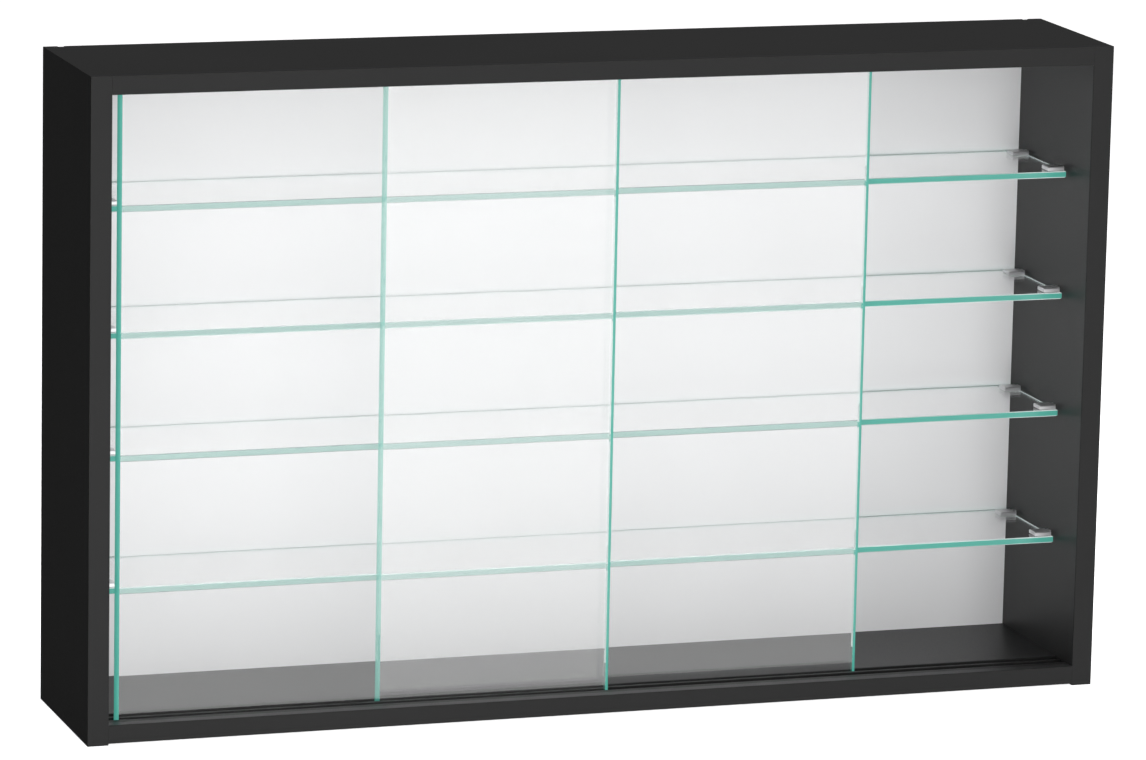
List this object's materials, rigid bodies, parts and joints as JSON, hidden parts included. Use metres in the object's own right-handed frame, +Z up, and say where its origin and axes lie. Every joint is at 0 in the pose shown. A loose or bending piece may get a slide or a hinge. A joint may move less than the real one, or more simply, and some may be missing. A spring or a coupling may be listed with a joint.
{
  "type": "wall display case",
  "caption": "Shallow black wall cabinet with a white back, clear glass shelves in metal clips and two frameless glass doors that slide past each other in let-in channels.",
  "frame": {"origin": "on the wall plane, half way between the centres of the two hangers' round holes", "axes": "+X to the right seen from the front, along the doors' travel; +Y back into the wall; +Z up"},
  "size_m": [0.8, 0.153, 0.5],
  "materials": {
    "board_black": "black melamine laminate on chipboard, fine pearl texture, satin",
    "edge_black": "black edge banding, satin",
    "back_white": "white lacquered fibreboard, smooth, satin",
    "track_black": "extruded black plastic, satin",
    "door_glass": "clear float glass, ground and polished edges",
    "shelf_glass": "clear float glass, ground and polished edges",
    "clip_metal": "cast zinc, satin nickel plated",
    "liner_clear": "soft clear plastic",
    "cam_zinc": "cast zinc, bare",
    "bolt_steel": "zinc plated steel",
    "dowel_beech": "fluted beech, raw",
    "hanger_steel": "zinc plated sheet steel",
    "screw_steel": "zinc plated steel",
    "brad_steel": "bright drawn steel",
    "buffer_rubber": "black rubber, matt"
  },
  "bodies": {
    "case": {"left_side": "board_black", "right_side": "board_black", "top_panel": "board_black", "bottom_panel": "board_black", "left_band": "edge_black", "right_band": "edge_black", "top_band": "edge_black", "bottom_band": "edge_black", "back_panel": "back_white", "lower_track": "track_black", "upper_track": "track_black", "cam_bolts": "bolt_steel", "cams": "cam_zinc", "dowels": "dowel_beech", "back_brads": "brad_steel", "left_hanger": "hanger_steel", "right_hanger": "hanger_steel", "hanger_screws": "screw_steel", "wall_buffers": "buffer_rubber", "shelf_1": "shelf_glass", "shelf_1_clips": "clip_metal", "shelf_1_liners": "liner_clear", "shelf_2": "shelf_glass", "shelf_2_clips": "clip_metal", "shelf_2_liners": "liner_clear", "shelf_3": "shelf_glass", "shelf_3_clips": "clip_metal", "shelf_3_liners": "liner_clear", "shelf_4": "shelf_glass", "shelf_4_clips": "clip_metal", "shelf_4_liners": "liner_clear"},
    "front_door": {"front_door": "door_glass"},
    "rear_door": {"rear_door": "door_glass"}
  },
  "joints": [
    {"name": "front_door_slide", "type": "slide", "parent": "case", "child": "front_door", "axis": [1, 0, 0], "range_m": [-0.008, 0.373]},
    {"name": "rear_door_slide", "type": "slide", "parent": "case", "child": "rear_door", "axis": [1, 0, 0], "range_m": [-0.212, 0.169]}
  ]
}
